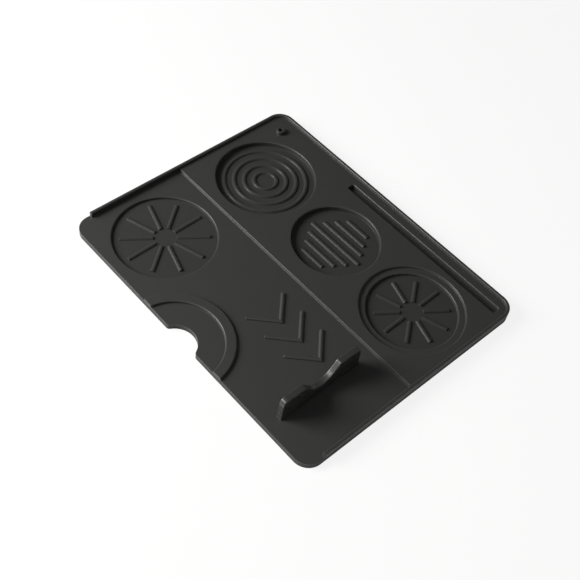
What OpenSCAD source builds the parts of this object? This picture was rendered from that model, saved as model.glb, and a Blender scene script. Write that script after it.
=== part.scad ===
// Moulded silicone tamper mat. The underside rests on the counter.
// Origin: middle of the underside. X runs along the long side, the front edge is at -Y, Z is up.

/* [Mat] */
// Length of the mat, along the front edge
mat_l = 250; // [240:1:320]
// Depth of the mat, from the front edge to the back edge
mat_w = 200.4; // [190:0.2:260]
// Radius of the four corners in plan
corner_r = 12; // [6:0.5:20]
// Thickness of the low front level
front_t = 4.6; // [4.1:0.1:7]
// Rise of the rear level above the front level
rear_rise = 2; // [1.9:0.1:4]
// Distance from the front edge to the middle of the step up to the rear level
step_from_front = 94.5; // [93:0.1:98]
// Slope of the step, in degrees from the horizontal
step_slope = 75; // [60:1:85]
// Radius on the top edge of the step
step_edge_r = 0.5; // [0.2:0.1:0.9]
// Radius where the step meets the front level
step_foot_r = 0.2; // [0.2:0.1:0.9]
// Thickness left under every recess
floor_t = 2.5; // [1.5:0.1:3]

/* [Rim] */
// Width of the raised rim
rim_w = 2.5; // [2:0.1:4]
// Height of the rim above the front level
rim_h = 4.2; // [2.6:0.1:7]
// Radius on the outer top edge of the rim
rim_outer_r = 0.6; // [0.4:0.1:1.1]
// Radius on the inner top edge of the rim
rim_inner_r = 0.9; // [0.2:0.1:1.1]
// Distance from the front edge to the two ends of the rim
rim_end_from_front = 15; // [13:0.5:40]

/* [Recesses] */
// Radius of the three large round recesses
recess_r = 37.8; // [30:0.1:38.6]
// Radius of the middle recess and of the double recess's inner step
small_recess_r = 32.7; // [30:0.1:34]
// Distance from the mat's middle line to the centre of the middle recess
recess_middle_x = 0.8; // [0:0.1:1.2]
// Distance from the middle recess to the recesses at the two ends
recess_offset_x = 78.2; // [76:0.1:79]
// Distance from the back edge to the centres of the rear row
rear_row_from_back = 58.8; // [57:0.1:60]
// Distance from the front edge to the centre of the front recess
front_row_from_front = 46.2; // [44:0.2:48]
// Depth of the double recess's outer step
outer_step_d = 1.9; // [1.4:0.1:2.5]
// Radius on the lip of each recess
lip_r = 1; // [0.2:0.1:1.2]
// Radius where a recess wall meets its floor
foot_r = 0.3; // [0.2:0.1:0.6]

/* [Ribs in the recesses] */
// Width of each rib
rib_w = 3.5; // [2.4:0.1:4]
// Height of each rib above the recess floor
rib_h = 1.2; // [0.6:0.1:1.8]
// Radius on the top edges of a rib, at most half the rib's width
rib_edge_r = 1.6; // [0.3:0.1:1.7]
// Distance between neighbouring rings and between neighbouring bars
rib_pitch = 7.6; // [6:0.1:8]
// Centre radius of the smallest ring
first_ring_r = 8.6; // [5:0.1:9]
// Number of rings
ring_count = 4; // [2:1:4]
// Bars on each side of the longest bar
bars_each_side = 3; // [1:1:3]
// Half length of the longest bar
longest_bar_half = 25; // [22:0.5:26]
// How much each next bar is shorter at either end
bar_shrink = 4.8; // [3:0.1:6]
// Number of spokes in each spoked recess
spoke_count = 10; // [4:1:12]
// Radius at which the spokes begin
spoke_start_r = 8.5; // [7:0.5:12]
// Width left flat between the spokes and the wall round them
spoke_gap = 5.3; // [3:0.1:10]
// Angle by which the spokes are turned
spoke_turn = 19; // [0:1:35]

/* [Portafilter notch] */
// Radius of the notch in the front edge
notch_r = 15.4; // [10:0.2:20]
// Distance from the mat's middle line to the notch's centre
notch_x = 0.5; // [0:0.1:4]
// Distance of the notch's centre outside the front edge
notch_out = 5.5; // [3:0.1:7]
// Radius on the two corners of the notch's mouth
notch_corner_r = 3; // [1:0.5:4]
// Inner radius of the raised half ring round the notch
band_inner_r = 33.5; // [30:0.5:35]
// Width of the half ring
band_w = 7.8; // [4:0.2:8]
// Height of the half ring above the front level
band_h = 2; // [1:0.1:3]
// Radius on the half ring's top edges
band_edge_r = 1; // [0.2:0.1:1]

/* [Chevrons] */
// Number of chevrons
chevron_count = 3; // [1:1:3]
// Distance from the mat's middle line to the first chevron's point
chevron_x = 30.3; // [29:0.1:34]
// Distance between the points of neighbouring chevrons
chevron_pitch = 19.8; // [12:0.2:20]
// Distance from the front edge to the line through the points
chevron_from_front = 62.3; // [60:0.1:64]
// Length of each chevron's side
chevron_side = 24.3; // [15:0.1:26]
// Width of the chevron ribs
chevron_w = 3.2; // [2.4:0.1:4]
// Height of the chevron ribs above the front level
chevron_h = 1.5; // [0.8:0.1:2]
// Radius on the top edges of the chevron ribs, at most half their width
chevron_edge_r = 1.5; // [0.3:0.1:1.6]

/* [Saddle rest] */
// Distance from the mat's middle line to the middle of the saddle plate
saddle_x = 86.1; // [84:0.1:100]
// Distance from the front edge to the middle of the saddle plate
saddle_from_front = 45.1; // [44:0.1:50]
// Length of the saddle plate, front to back
saddle_l = 68; // [60:0.5:72]
// Thickness of the saddle plate
saddle_t = 4.6; // [4:0.1:8]
// Height of the saddle's shoulders above the front level
saddle_h = 20; // [14:0.5:30]
// Depth of the dip below the shoulders
dip_d = 11; // [8:0.5:13]
// Radius at the bottom of the dip
dip_r = 13.5; // [8:0.5:15]
// Slope of the dip's sides, in degrees from the horizontal
dip_angle = 50; // [35:1:65]
// Radius where the dip meets a shoulder
dip_lip_r = 3; // [1.5:0.1:4]
// Radius on the outer corner of each shoulder
shoulder_r = 4.5; // [2:0.1:6]
// Radius on the long edges of the plate
saddle_edge_r = 0.7; // [0.3:0.1:1]

/* [Tool slot] */
// Length of the tool slot
slot_l = 148.6; // [100:0.2:160]
// Width of the tool slot
slot_w = 5.8; // [3:0.1:6.4]
// Distance from the slot's right end to the right end of the mat
slot_from_right = 8.2; // [7:0.1:20]
// Distance from the back edge to the slot's far wall
slot_from_back = 9.4; // [8:0.1:9.8]
// Radius on the slot's corners in plan
slot_corner_r = 1.2; // [0.5:0.1:1.4]
// Radius on the slot's lip
slot_lip_r = 0.8; // [0.2:0.1:1]

/* [Hanging hole] */
// Diameter of the hanging hole
hole_d = 3.4; // [2.4:0.1:4]
// Outer diameter of the collar round the hole
collar_d = 7; // [5.6:0.1:9]
// Height of the collar above the rear level
collar_h = 3; // [1:0.1:5]
// Distance from the left end of the mat to the hole
hole_from_left = 17.7; // [15:0.1:20]
// Distance from the back edge to the hole
hole_from_back = 17.4; // [14:0.1:19]
// Radius on the collar's top edge
collar_edge_r = 0.5; // [0.2:0.1:0.7]

/* [Hidden] */
$fn = 96;
mat_colour = [0.2, 0.2, 0.2];
// Depth by which a raised feature runs into the body that carries it
root = 0.8;
// Height by which a cut runs past the surface it opens through
past = 1;
// Pieces in each quarter turn of a rounded edge
edge_steps = 4;
rear_t = front_t + rear_rise;
rim_top = front_t + rim_h;
half_l = mat_l / 2;
half_w = mat_w / 2;
step_y = step_from_front - half_w;
left_x = recess_middle_x - recess_offset_x;
right_x = recess_middle_x + recess_offset_x;
rear_row_y = half_w - rear_row_from_back;
front_row_y = front_row_from_front - half_w;
notch_y = -half_w - notch_out;
chevron_y = chevron_from_front - half_w;
saddle_y = saddle_from_front - half_w;
slot_end_x = half_l - slot_from_right;
slot_far_y = half_w - slot_from_back;
hole_x = hole_from_left - half_l;
hole_y = half_w - hole_from_back;

mat();

// Points on an arc round the centre c, from one angle to another
function arc(c, r, from, to, steps = edge_steps) =
    [for (i = [0 : steps]) let (a = from + (to - from) * i / steps) c + r * [cos(a), sin(a)]];

// The whole mat is one moulding: body, rim and raised shapes, less the cuts, plus the ribs inside the recesses
module mat() {
    color(mat_colour) {
        difference() {
            union() {
                body();
                rim();
                half_ring();
                chevrons();
                collar();
                saddle();
            }
            recesses();
            tool_slot();
            notch();
            hanging_hole();
        }
        spokes(recess_r, left_x, front_row_y);
        rings(left_x, rear_row_y);
        bars(recess_middle_x, rear_row_y);
        spokes(small_recess_r, right_x, rear_row_y);
    }
}

// Plan of the mat
module outline() {
    square([mat_l - 2 * corner_r, mat_w], center = true);
    square([mat_l, mat_w - 2 * corner_r], center = true);
    for (x = [-1, 1], y = [-1, 1])
        translate([x * (half_l - corner_r), y * (half_w - corner_r)])
            circle(r = corner_r);
}

// Low front level with the higher rear level behind the step
module body() {
    radii = step_foot_r + step_edge_r;
    straight_rise = rear_rise - radii * (1 - cos(step_slope));
    run = radii * sin(step_slope) + straight_rise / tan(step_slope);
    foot_y = step_y - run / 2;
    edge_y = step_y + run / 2;
    linear_extrude(front_t) outline();
    intersection() {
        linear_extrude(rear_t + past) outline();
        translate([-half_l - past, 0, 0])
            rotate([90, 0, 90])
                linear_extrude(mat_l + 2 * past)
                    polygon(concat(
                        [[foot_y, 0]],
                        arc([foot_y, front_t + step_foot_r], step_foot_r, -90, step_slope - 90),
                        arc([edge_y, rear_t - step_edge_r], step_edge_r, 90 + step_slope, 90),
                        [[half_w + past, rear_t], [half_w + past, 0]]));
    }
}

// Section of the rim, measured inwards from the mat's edge
module rim_section() {
    polygon(concat(
        [[0, 0]],
        arc([rim_outer_r, rim_top - rim_outer_r], rim_outer_r, 180, 90),
        arc([rim_w - rim_inner_r, rim_top - rim_inner_r], rim_inner_r, 90, 0),
        [[rim_w, 0]]));
}

// Rim round the two ends and the back, stopping short of the front corners
module rim() {
    side_l = mat_w - rim_end_from_front - corner_r;
    translate([-half_l, rim_end_from_front - half_w, 0])
        rotate([90, 0, 180]) mirror([1, 0, 0]) linear_extrude(side_l) rim_section();
    translate([half_l, rim_end_from_front - half_w, 0])
        rotate([90, 0, 180]) linear_extrude(side_l) rim_section();
    translate([corner_r - half_l, half_w, 0])
        rotate([90, 0, 90]) mirror([1, 0, 0]) linear_extrude(mat_l - 2 * corner_r) rim_section();
    for (side = [-1, 1])
        translate([side * (half_l - corner_r), half_w - corner_r, 0])
            rotate(side > 0 ? 0 : 90)
                rotate_extrude(angle = 90)
                    translate([corner_r, 0]) mirror([1, 0]) rim_section();
}

// Section of a rib that stands from z = bottom to z = top, with rounded top edges.
// A rounding taller than the rib starts inside the body, so the rib meets the body at a slant.
module rib_section(w, bottom, top, r) {
    e = min(r, w / 2 - 0.05);
    foot = min(bottom, top - e - 0.1);
    polygon(concat(
        [[-w / 2, foot]],
        arc([e - w / 2, top - e], e, 180, 90),
        arc([w / 2 - e, top - e], e, 90, 0),
        [[w / 2, foot]]));
}

// Half ring round the notch, ending flush with the front edge
module half_ring() {
    reach = band_inner_r + band_w + past;
    intersection() {
        translate([notch_x, notch_y, 0])
            rotate_extrude()
                translate([band_inner_r + band_w / 2, 0])
                    rib_section(band_w, front_t - root, front_t + band_h, band_edge_r);
        translate([notch_x - reach, -half_w, 0])
            cube([2 * reach, reach, rim_top]);
    }
}

// One side of a chevron, starting at its point
module chevron_arm() {
    intersection() {
        rotate([90, 0, 225])
            translate([0, 0, -chevron_w])
                linear_extrude(chevron_w + chevron_side)
                    rib_section(chevron_w, front_t - root, front_t + chevron_h, chevron_edge_r);
        translate([-mat_l, 0, 0])
            cube([2 * mat_l, mat_w, rim_top]);
    }
}

// Chevrons that point along the mat towards the saddle
module chevrons() {
    for (i = [0 : chevron_count - 1], side = [0, 1])
        translate([chevron_x + i * chevron_pitch, chevron_y, 0])
            mirror([0, side, 0]) chevron_arm();
}

// Collar round the hanging hole
module collar() {
    translate([hole_x, hole_y, 0])
        rotate_extrude()
            polygon(concat(
                [[0, rear_t - root]],
                [[0, rear_t + collar_h]],
                arc([collar_d / 2 - collar_edge_r, rear_t + collar_h - collar_edge_r], collar_edge_r, 90, 0),
                [[collar_d / 2, rear_t - root]]));
}

// Top line of half the saddle plate in side view, from the middle of the dip outwards, drawn in by d.
// Rounded stretches keep their centres: outer ones lose d of their radius and the dip gains it.
function saddle_half(d) =
    let (
        top = front_t + saddle_h,
        low = top - dip_d,
        flank_start = [dip_r * sin(dip_angle), low + dip_r * (1 - cos(dip_angle))],
        flank_end_z = top - dip_lip_r * (1 - cos(dip_angle)),
        flank_end_y = flank_start[0] + (flank_end_z - flank_start[1]) / tan(dip_angle),
        lip_centre = [flank_end_y + dip_lip_r * sin(dip_angle), top - dip_lip_r])
    concat(
        arc([0, low + dip_r], dip_r + d, -90, dip_angle - 90, 8),
        arc(lip_centre, dip_lip_r - d, 90 + dip_angle, 90, 6),
        arc([saddle_l / 2 - shoulder_r, top - shoulder_r], shoulder_r - d, 90, 0, 6));

// Whole side view: the top line from front to back, then the points below it from back to front
function saddle_outline(d) =
    let (
        half = saddle_half(d),
        last = len(half) - 1,
        line = concat([for (i = [last : -1 : 1]) [-half[i][0], half[i][1]]], half),
        below = [for (i = [2 * last : -1 : 0]) [line[i][0], front_t - root]])
    concat(line, below);

// Distances across the plate and inwards at which its outline is drawn, for rounded long edges
function saddle_layers() =
    let (
        e = saddle_edge_r,
        side = [for (i = [0 : edge_steps]) let (a = 90 * i / edge_steps) [saddle_t / 2 - e * (1 - cos(a)), e * (1 - sin(a))]])
    concat(
        [for (p = side) [-p[0], p[1]]],
        [for (i = [edge_steps : -1 : 0]) side[i]]);

// Upright plate that carries the portafilter's handle in its dip, lofted through its layers
module saddle() {
    layers = saddle_layers();
    n = len(saddle_outline(0));
    last = len(layers) - 1;
    points = [for (layer = layers) for (p = saddle_outline(layer[1])) [layer[0], p[0], p[1]]];
    sides = [for (k = [0 : last - 1], i = [0 : n - 1])
        let (j = (i + 1) % n, a = k * n, b = a + n)
        for (face = [[a + i, b + j, b + i], [a + i, a + j, b + j]]) face];
    ends = [for (i = [0 : n / 2 - 2])
        let (strip = [i, i + 1, n - 2 - i, n - 1 - i])
        for (face = [[for (k = [3 : -1 : 0]) strip[k]], [for (s = strip) last * n + s]]) face];
    translate([saddle_x, saddle_y, 0])
        polyhedron(points = points, faces = concat(sides, ends), convexity = 6);
}

// Lip of a cut in section: up the wall at distance w from the cut's middle, round its edge and out past the surface
function lip_line(w, top, r) =
    let (
        lip = arc([w + r, top - r], r, 180, 90),
        last = lip[len(lip) - 1],
        before = lip[len(lip) - 2],
        slope = (last[0] - before[0]) / (last[1] - before[1]),
        over = last + [slope, 1] * r / 10)
    concat(lip, [over, [over[0], top + past]]);

// Cut for a round recess that opens through the surface at z = top
module round_cut(x, y, r, bottom, top) {
    translate([x, y, 0])
        rotate_extrude()
            polygon(concat(
                [[0, bottom]],
                arc([r - foot_r, bottom + foot_r], foot_r, -90, 0),
                lip_line(r, top, lip_r),
                [[0, top + past]]));
}

// The four round recesses, one of them with a second step
module recesses() {
    round_cut(left_x, front_row_y, recess_r, floor_t, front_t);
    round_cut(left_x, rear_row_y, recess_r, floor_t, rear_t);
    round_cut(recess_middle_x, rear_row_y, small_recess_r, floor_t, rear_t);
    round_cut(right_x, rear_row_y, recess_r, rear_t - outer_step_d, rear_t);
    round_cut(right_x, rear_row_y, small_recess_r, floor_t, rear_t - outer_step_d);
}

// Straight rib in a recess, along X from x1 to x2
module rib(x1, x2) {
    translate([x1, 0, 0])
        rotate([90, 0, 90])
            linear_extrude(x2 - x1)
                rib_section(rib_w, floor_t - root, floor_t + rib_h, rib_edge_r);
}

// Spokes inside a recess of radius r
module spokes(r, x, y) {
    translate([x, y, 0])
        for (i = [0 : spoke_count - 1])
            rotate(spoke_turn + i * 360 / spoke_count)
                rib(spoke_start_r, r - spoke_gap);
}

// Concentric rings inside a recess
module rings(x, y) {
    translate([x, y, 0])
        for (i = [0 : ring_count - 1])
            rotate_extrude()
                translate([first_ring_r + i * rib_pitch, 0])
                    rib_section(rib_w, floor_t - root, floor_t + rib_h, rib_edge_r);
}

// Parallel bars inside a recess, shorter towards both sides
module bars(x, y) {
    for (i = [-bars_each_side : bars_each_side])
        let (half = longest_bar_half - abs(i) * bar_shrink)
            translate([x, y + i * rib_pitch, 0])
                rib(-half, half);
}

// Section of a straight stretch of the tool slot, w wide on each side of its middle
module slot_section(w) {
    side = lip_line(w, rear_t, slot_lip_r);
    polygon(concat(
        [[w, floor_t]],
        side,
        [for (i = [len(side) - 1 : -1 : 0]) [-side[i][0], side[i][1]]],
        [[-w, floor_t]]));
}

// Long straight slot near the back edge, with a rounded lip
module tool_slot() {
    inner_l = slot_l - 2 * slot_corner_r;
    inner_w = slot_w - 2 * slot_corner_r;
    translate([slot_end_x - slot_l / 2, slot_far_y - slot_w / 2, 0]) {
        translate([-inner_l / 2, 0, 0])
            rotate([90, 0, 90])
                linear_extrude(inner_l) slot_section(slot_w / 2);
        translate([0, inner_w / 2, 0])
            rotate([90, 0, 0])
                linear_extrude(inner_w) slot_section(slot_l / 2);
        for (x = [-1, 1], y = [-1, 1])
            translate([x * inner_l / 2, y * inner_w / 2, 0])
                rotate_extrude()
                    polygon(concat(
                        [[0, floor_t], [slot_corner_r, floor_t]],
                        lip_line(slot_corner_r, rear_t, slot_lip_r),
                        [[0, rear_t + past]]));
    }
}

// Notch in the front edge, with rounded corners at its mouth
module notch() {
    reach = notch_r + notch_corner_r;
    corner_x = sqrt(reach * reach - pow(notch_out + notch_corner_r, 2));
    touch = [corner_x, notch_out + notch_corner_r] * notch_r / reach;
    translate([notch_x, notch_y, -past])
        linear_extrude(front_t + band_h + 2 * past) {
            circle(r = notch_r);
            difference() {
                polygon([
                    [-corner_x, notch_out - past], [corner_x, notch_out - past],
                    [corner_x, notch_out], touch, [-touch[0], touch[1]], [-corner_x, notch_out]]);
                for (side = [-1, 1])
                    translate([side * corner_x, notch_out + notch_corner_r])
                        circle(r = notch_corner_r);
            }
        }
}

// Hole through the collar and the mat
module hanging_hole() {
    translate([hole_x, hole_y, -past])
        cylinder(d = hole_d, h = rear_t + collar_h + 2 * past);
}
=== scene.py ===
import math
import bpy
from mathutils import Matrix, Vector

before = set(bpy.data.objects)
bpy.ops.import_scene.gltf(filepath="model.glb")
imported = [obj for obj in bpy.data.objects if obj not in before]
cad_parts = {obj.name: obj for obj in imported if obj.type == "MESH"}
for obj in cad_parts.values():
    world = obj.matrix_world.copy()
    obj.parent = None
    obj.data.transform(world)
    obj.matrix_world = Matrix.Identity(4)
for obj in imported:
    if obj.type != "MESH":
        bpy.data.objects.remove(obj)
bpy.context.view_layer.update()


# The mat itself: one press-moulded sheet of silicone rubber, coloured through with carbon black.
# The blasted mould gives it an even, fine-grained matt and small radii, and silicone oil a thin sheen.
# Hands and cups rub the upper faces a little smoother, while the seats' floors and ribs stay dull and
# carry painted shade.
MM = 0.001
# Painted shade: everything below 3.7 mm, the seats' floors and ribs most of all, takes this darker colour.
SEAT_SHADE_HEX = "292928"
SILICONE_HEX = "30302f"
BLOOM_HEX = "333332"
SILICONE_IOR = 1.41
SEAT_ROUGHNESS = 0.95
SKIN_ROUGHNESS = 0.55
RUB = 0.06
DULL_BELOW = 3.7 * MM
RUBBED_ABOVE = 4.0 * MM
SADDLE_POLISH = 0.25
POLISH_FROM = 9 * MM
POLISH_FULL = 12 * MM
OIL_SHARE = 0.35
OIL_ROUGHNESS = 0.28
PATCH_SIZE = 28 * MM
PATCH_DETAIL = 3.0
PATCH_RAGGEDNESS = 0.55
# The patches' noise seldom leaves this range, so the rub is spread over it.
LEAST_PATCH = 0.3
MOST_PATCH = 0.7
# Blasting leaves a grain of about 0.1 mm, which is drawn coarser here so that it shows.
GRAIN_SIZE = 0.6 * MM
GRAIN_DETAIL = 2.0
GRAIN_RAGGEDNESS = 0.6
GRAIN_DEPTH = 0.01 * MM
MOULD_RADIUS = 0.4 * MM
RADIUS_SAMPLES = 8
# A Mix node repeats its sockets' names for each kind of value, so those for colours go by number.
MIX_FACTOR = 0
MIX_FIRST = 6
MIX_SECOND = 7
MIX_COLOUR = 2


def linear(hex_colour):
    """The linear RGBA of an sRGB hex colour."""
    parts = [int(hex_colour[i:i + 2], 16) / 255 for i in (0, 2, 4)]
    return [p / 12.92 if p <= 0.04045 else ((p + 0.055) / 1.055) ** 2.4 for p in parts] + [1.0]


def add_node(material, kind, settings=None, links=None):
    """Adds a node, sets its properties and unlinked inputs, and links its other inputs."""
    tree = material.node_tree
    node = tree.nodes.new(kind)
    for name, value in (settings or {}).items():
        if isinstance(name, int) or name in node.inputs:
            node.inputs[name].default_value = value
        else:
            setattr(node, name, value)
    for name, source in (links or {}).items():
        tree.links.new(source, node.inputs[name])
    return node


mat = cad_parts["mat"]
silicone = bpy.data.materials.new("moulded_black_silicone")
silicone.use_nodes = True
silicone.node_tree.nodes.clear()
place = add_node(silicone, "ShaderNodeTexCoord")
# Cloudy patches a few centimetres across, where handling leaves the skin a shade paler and smoother.
patches = add_node(
    silicone, "ShaderNodeTexNoise",
    {"Scale": 1 / PATCH_SIZE, "Detail": PATCH_DETAIL, "Roughness": PATCH_RAGGEDNESS},
    {"Vector": place.outputs["Object"]})
tint = add_node(
    silicone, "ShaderNodeMix",
    {"data_type": "RGBA", MIX_FIRST: linear(SILICONE_HEX), MIX_SECOND: linear(BLOOM_HEX)},
    {MIX_FACTOR: patches.outputs["Fac"]})
# What lies this low, such as the seats' floors and ribs, is out of a cloth's reach and duller, and it also
# carries painted shade, a darker colour.
height = add_node(silicone, "ShaderNodeSeparateXYZ", None, {"Vector": place.outputs["Object"]})
rub_and_shade_mask = add_node(
    silicone, "ShaderNodeMapRange",
    {"From Min": DULL_BELOW, "From Max": RUBBED_ABOVE, "To Min": 0.0, "To Max": 1.0},
    {"Value": height.outputs["Z"]})
shaded_colour = add_node(
    silicone, "ShaderNodeMix",
    {"data_type": "RGBA", MIX_FIRST: linear(SEAT_SHADE_HEX)},
    {MIX_FACTOR: rub_and_shade_mask.outputs["Result"], MIX_SECOND: tint.outputs[MIX_COLOUR]})
skin_matt = add_node(
    silicone, "ShaderNodeMapRange",
    {"From Min": 0.0, "From Max": 1.0, "To Min": SEAT_ROUGHNESS, "To Max": SKIN_ROUGHNESS},
    {"Value": rub_and_shade_mask.outputs["Result"]})
rubbed = add_node(
    silicone, "ShaderNodeMapRange",
    {"From Min": LEAST_PATCH, "From Max": MOST_PATCH, "To Min": 0.0, "To Max": RUB},
    {"Value": patches.outputs["Fac"]})
worn_skin = add_node(
    silicone, "ShaderNodeMath", {"operation": "SUBTRACT"},
    {0: skin_matt.outputs["Result"], 1: rubbed.outputs["Result"]})
# Only the saddle stands this high, and the handles that rest in it have polished it.
polish = add_node(
    silicone, "ShaderNodeMapRange",
    {"From Min": POLISH_FROM, "From Max": POLISH_FULL, "To Min": 0.0, "To Max": SADDLE_POLISH},
    {"Value": height.outputs["Z"]})
roughness = add_node(
    silicone, "ShaderNodeMath", {"operation": "SUBTRACT"},
    {0: worn_skin.outputs["Value"], 1: polish.outputs["Result"]})
# The mould's small radii, and over them the bead-blasted grain.
edges = add_node(silicone, "ShaderNodeBevel", {"samples": RADIUS_SAMPLES, "Radius": MOULD_RADIUS})
grain = add_node(
    silicone, "ShaderNodeTexNoise",
    {"Scale": 1 / GRAIN_SIZE, "Detail": GRAIN_DETAIL, "Roughness": GRAIN_RAGGEDNESS},
    {"Vector": place.outputs["Object"]})
relief = add_node(
    silicone, "ShaderNodeBump",
    {"Strength": 1.0, "Distance": GRAIN_DEPTH},
    {"Height": grain.outputs["Fac"], "Normal": edges.outputs["Normal"]})
skin = add_node(
    silicone, "ShaderNodeBsdfPrincipled",
    {
        "IOR": SILICONE_IOR, "Coat Weight": OIL_SHARE,
        "Coat Roughness": OIL_ROUGHNESS, "Coat IOR": SILICONE_IOR,
    },
    {
        "Base Color": shaded_colour.outputs[MIX_COLOUR], "Roughness": roughness.outputs["Value"],
        "Normal": relief.outputs["Normal"], "Coat Normal": relief.outputs["Normal"],
    })
add_node(silicone, "ShaderNodeOutputMaterial", links={"Surface": skin.outputs["BSDF"]})
mat.material_slots[0].material = silicone


# The table it lies on: a white paper sweep, turned up into a low wall all round.
# The paper is uncoated and matt. It looks nearly white and keeps the mat's soft shadow,
# and the mat's sheen shows a part of that white.
SWEEP_RADIUS = 3.0
SWEEP_HEIGHT = 1.3
SWEEP_SIDES = 96
SWEEP_BEND = 0.5
SWEEP_BEND_STEPS = 8
SMOOTH_ANGLE = math.radians(30)
FACES_UP = 0.9
PAPER_HEX = "f4f4f2"
# The camera sees this share of the lit paper with its shadow, and plain white for the rest.
SHADOW_SHARE = 0.15
# The sheen shows this share of plain white, and the lit paper for the rest.
MIRROR_SHARE = 0.2
# The paper lies this far below the mat's underside, so that the two surfaces don't coincide.
PAPER_GAP = 0.05 * MM
WHITE = (1, 1, 1, 1)
bpy.ops.object.select_all(action="DESELECT")
bpy.ops.mesh.primitive_cylinder_add(
    vertices=SWEEP_SIDES, radius=SWEEP_RADIUS, depth=SWEEP_HEIGHT,
    location=(0, 0, SWEEP_HEIGHT / 2 - PAPER_GAP))
sweep = bpy.context.object
sweep.name = "paper_sweep"
bpy.ops.object.mode_set(mode="EDIT")
bpy.ops.mesh.select_mode(type="FACE")
bpy.ops.mesh.select_all(action="DESELECT")
bpy.ops.object.mode_set(mode="OBJECT")
# The top is open.
for face in sweep.data.polygons:
    face.select = face.normal.z > FACES_UP
bpy.ops.object.mode_set(mode="EDIT")
bpy.ops.mesh.delete(type="FACE")
bpy.ops.mesh.select_mode(type="EDGE")
bpy.ops.object.mode_set(mode="OBJECT")
# The bottom's edge is bent round, so that no corner shows behind the mat.
for edge in sweep.data.edges:
    edge.select = all(sweep.data.vertices[end].co.z < 0 for end in edge.vertices)
bpy.ops.object.mode_set(mode="EDIT")
bpy.ops.mesh.bevel(offset=SWEEP_BEND, segments=SWEEP_BEND_STEPS, affect="EDGES")
bpy.ops.mesh.select_all(action="SELECT")
bpy.ops.mesh.normals_make_consistent(inside=True)
bpy.ops.object.mode_set(mode="OBJECT")
bpy.ops.object.transform_apply(location=True)
bpy.ops.object.shade_smooth_by_angle(angle=SMOOTH_ANGLE)
paper = bpy.data.materials.new("white_paper")
paper.use_nodes = True
paper.node_tree.nodes.clear()
ray = add_node(paper, "ShaderNodeLightPath")
seen = add_node(
    paper, "ShaderNodeMath", {"operation": "ADD"},
    {0: ray.outputs["Is Camera Ray"], 1: ray.outputs["Is Transmission Ray"]})
mirrored = add_node(
    paper, "ShaderNodeMath", {"operation": "MULTIPLY", 1: MIRROR_SHARE},
    {0: ray.outputs["Is Glossy Ray"]})
share = add_node(
    paper, "ShaderNodeMath", {"operation": "MULTIPLY_ADD", 1: 1 - SHADOW_SHARE},
    {0: seen.outputs["Value"], 2: mirrored.outputs["Value"]})
sheet = add_node(paper, "ShaderNodeBsdfDiffuse", {"Color": linear(PAPER_HEX)})
white = add_node(paper, "ShaderNodeEmission", {"Color": WHITE, "Strength": 1.0})
blend = add_node(
    paper, "ShaderNodeMixShader", None,
    {"Fac": share.outputs["Value"], 1: sheet.outputs["BSDF"], 2: white.outputs["Emission"]})
add_node(paper, "ShaderNodeOutputMaterial", links={"Surface": blend.outputs["Shader"]})
sweep.data.materials.append(paper)


# The studio light: one large soft box near the front left, whose slanting light draws the relief,
# a weak one behind the mat, another over its front, and a dim room round them.
# Azimuths are plan directions in degrees, from +X towards +Y, distances and sizes are in metres.
KEY_AZIMUTH = 230
KEY_ELEVATION = 30
KEY_DISTANCE = 1.0
KEY_SIZE = 0.58
KEY_POWER = 18
FILL_AZIMUTH = 40
FILL_ELEVATION = 50
FILL_DISTANCE = 1.2
FILL_SIZE = 0.8
FILL_POWER = 0.7
TOP_AZIMUTH = 300
TOP_ELEVATION = 65
TOP_DISTANCE = 0.7
TOP_SIZE = 0.5
TOP_POWER = 0.45
ROOM_STRENGTH = 0.05


def lamp(name, azimuth, elevation, distance, size, power):
    """Adds a square soft box in that direction, aimed at the middle of the mat's underside."""
    plan_angle = math.radians(azimuth)
    rise = math.radians(elevation)
    direction = Vector((
        math.cos(plan_angle) * math.cos(rise), math.sin(plan_angle) * math.cos(rise), math.sin(rise)))
    data = bpy.data.lights.new(name, "AREA")
    data.shape = "SQUARE"
    data.size = size
    data.energy = power
    box = bpy.data.objects.new(name, data)
    box.location = direction * distance
    box.rotation_euler = (-box.location).to_track_quat("-Z", "Y").to_euler()
    box.visible_camera = False
    bpy.context.scene.collection.objects.link(box)


lamp("key", KEY_AZIMUTH, KEY_ELEVATION, KEY_DISTANCE, KEY_SIZE, KEY_POWER)
lamp("fill", FILL_AZIMUTH, FILL_ELEVATION, FILL_DISTANCE, FILL_SIZE, FILL_POWER)
lamp("top", TOP_AZIMUTH, TOP_ELEVATION, TOP_DISTANCE, TOP_SIZE, TOP_POWER)
room = bpy.data.worlds.new("dim_room")
room.use_nodes = True
room.node_tree.nodes.clear()
air = add_node(room, "ShaderNodeBackground", {"Color": WHITE, "Strength": ROOM_STRENGTH})
add_node(room, "ShaderNodeOutputWorld", links={"Surface": air.outputs["Background"]})
bpy.context.scene.world = room


# The camera looks down on the mat from its front right, turned a little in its own plane.
# It stands where the mat's straight edges and round seats line up with those in the picture.
AIM = Vector((11.306, -12.097, 0)) * MM
CAMERA_AZIMUTH = math.radians(40.789)
CAMERA_ELEVATION = math.radians(51.846)
CAMERA_ROLL = math.radians(9.402)
CAMERA_DISTANCE = 697.663 * MM
SENSOR = 36.0
IMAGE_SIDE = 580
FOCAL_PIXELS = 992.363
NEAREST = 0.01
FARTHEST = 20
camera_data = bpy.data.cameras.new("camera")
camera_data.sensor_width = SENSOR
camera_data.lens = FOCAL_PIXELS * SENSOR / IMAGE_SIDE
camera_data.clip_start = NEAREST
camera_data.clip_end = FARTHEST
camera = bpy.data.objects.new("camera", camera_data)
bpy.context.scene.collection.objects.link(camera)
turn = (
    Matrix.Rotation(CAMERA_AZIMUTH, 4, "Z")
    @ Matrix.Rotation(math.pi / 2 - CAMERA_ELEVATION, 4, "X")
    @ Matrix.Rotation(CAMERA_ROLL, 4, "Z"))
camera.matrix_world = Matrix.Translation(AIM) @ turn @ Matrix.Translation((0, 0, CAMERA_DISTANCE))
bpy.context.scene.camera = camera
bpy.context.scene.view_settings.view_transform = "Standard"
